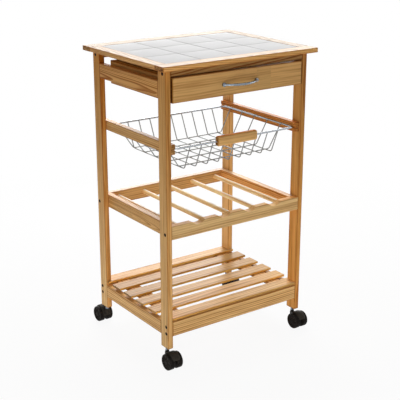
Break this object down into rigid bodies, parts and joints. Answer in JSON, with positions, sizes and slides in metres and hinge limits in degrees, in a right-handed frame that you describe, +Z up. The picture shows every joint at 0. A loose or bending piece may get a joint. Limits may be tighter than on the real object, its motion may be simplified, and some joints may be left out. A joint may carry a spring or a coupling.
{
  "type": "kitchen cart",
  "caption": "Wheeled pine kitchen cart with a tiled worktop, a drawer, a pull-out wire basket, a bottle rack and a slatted bottom shelf.",
  "frame": {"origin": "on the floor, below the middle of the worktop", "axes": "+Z up, -Y towards the front where the drawer and the basket pull out, +X to the right seen from the front"},
  "size_m": [0.47, 0.3982, 0.78],
  "materials": {
    "pine": "clear satin lacquer",
    "hardwood": "clear satin lacquer",
    "board": "plain board",
    "tile": "gloss glaze",
    "grout": "matte cement",
    "bolt_steel": "black oxide",
    "satin_chrome": "satin",
    "wire_chrome": "bright",
    "caster_plastic": "moulded satin",
    "stem_steel": "zinc plated"
  },
  "bodies": {
    "frame": {"leg_front_left": "pine", "leg_front_right": "pine", "leg_rear_left": "pine", "leg_rear_right": "pine", "worktop_rail_front": "pine", "worktop_rail_rear": "pine", "worktop_rail_left": "pine", "worktop_rail_right": "pine", "worktop_base_board": "board", "worktop_tiles": "tile", "worktop_grout": "grout", "apron_front": "pine", "apron_rear": "pine", "upper_side_rail_left": "pine", "upper_side_rail_right": "pine", "drawer_runner_left": "pine", "drawer_runner_right": "pine", "basket_rail_left": "hardwood", "basket_rail_right": "hardwood", "rack_rail_front": "pine", "rack_rail_rear": "pine", "rack_side_left": "pine", "rack_side_right": "pine", "rack_dowels": "pine", "shelf_rail_front": "pine", "shelf_rail_rear": "pine", "shelf_side_left": "pine", "shelf_side_right": "pine", "shelf_batten_left": "pine", "shelf_batten_right": "pine", "shelf_slat_1": "pine", "shelf_slat_2": "pine", "shelf_slat_3": "pine", "shelf_slat_4": "pine", "shelf_slat_5": "pine", "shelf_slat_6": "pine", "frame_bolts": "bolt_steel"},
    "drawer": {"drawer_front": "pine", "drawer_side_left": "pine", "drawer_side_right": "pine", "drawer_back": "pine", "drawer_bottom": "board", "drawer_handle": "satin_chrome", "drawer_handle_screws": "bolt_steel"},
    "basket": {"basket_rim_wire": "wire_chrome", "basket_long_wires": "wire_chrome", "basket_cross_wires": "wire_chrome", "basket_handle": "pine"},
    "caster_front_left": {"caster_front_left_housing": "caster_plastic", "caster_front_left_stem": "stem_steel"},
    "wheels_front_left": {"caster_front_left_wheels": "caster_plastic"},
    "caster_front_right": {"caster_front_right_housing": "caster_plastic", "caster_front_right_stem": "stem_steel"},
    "wheels_front_right": {"caster_front_right_wheels": "caster_plastic"},
    "caster_rear_left": {"caster_rear_left_housing": "caster_plastic", "caster_rear_left_stem": "stem_steel"},
    "wheels_rear_left": {"caster_rear_left_wheels": "caster_plastic"},
    "caster_rear_right": {"caster_rear_right_housing": "caster_plastic", "caster_rear_right_stem": "stem_steel"},
    "wheels_rear_right": {"caster_rear_right_wheels": "caster_plastic"}
  },
  "joints": [
    {"name": "drawer_slide", "type": "slide", "parent": "frame", "child": "drawer", "axis": [0, -1, 0], "range_m": [0, 0.25]},
    {"name": "basket_slide", "type": "slide", "parent": "frame", "child": "basket", "axis": [0, -1, 0], "range_m": [0, 0.28]},
    {"name": "swivel_front_left", "type": "hinge", "parent": "frame", "child": "caster_front_left", "pos_m": [-0.2095, -0.1535, 0.052], "axis": [0, 0, 1], "continuous": true},
    {"name": "spin_front_left", "type": "hinge", "parent": "caster_front_left", "child": "wheels_front_left", "pos_m": [-0.2095, -0.1765, 0.0215], "axis": [1, 0, 0], "continuous": true},
    {"name": "swivel_front_right", "type": "hinge", "parent": "frame", "child": "caster_front_right", "pos_m": [0.2095, -0.1535, 0.052], "axis": [0, 0, 1], "continuous": true},
    {"name": "spin_front_right", "type": "hinge", "parent": "caster_front_right", "child": "wheels_front_right", "pos_m": [0.2095, -0.1765, 0.0215], "axis": [1, 0, 0], "continuous": true},
    {"name": "swivel_rear_left", "type": "hinge", "parent": "frame", "child": "caster_rear_left", "pos_m": [-0.2095, 0.1535, 0.052], "axis": [0, 0, 1], "continuous": true},
    {"name": "spin_rear_left", "type": "hinge", "parent": "caster_rear_left", "child": "wheels_rear_left", "pos_m": [-0.2095, 0.1765, 0.0215], "axis": [1, 0, 0], "continuous": true},
    {"name": "swivel_rear_right", "type": "hinge", "parent": "frame", "child": "caster_rear_right", "pos_m": [0.2095, 0.1535, 0.052], "axis": [0, 0, 1], "continuous": true},
    {"name": "spin_rear_right", "type": "hinge", "parent": "caster_rear_right", "child": "wheels_rear_right", "pos_m": [0.2095, 0.1305, 0.0215], "axis": [1, 0, 0], "continuous": true}
  ]
}
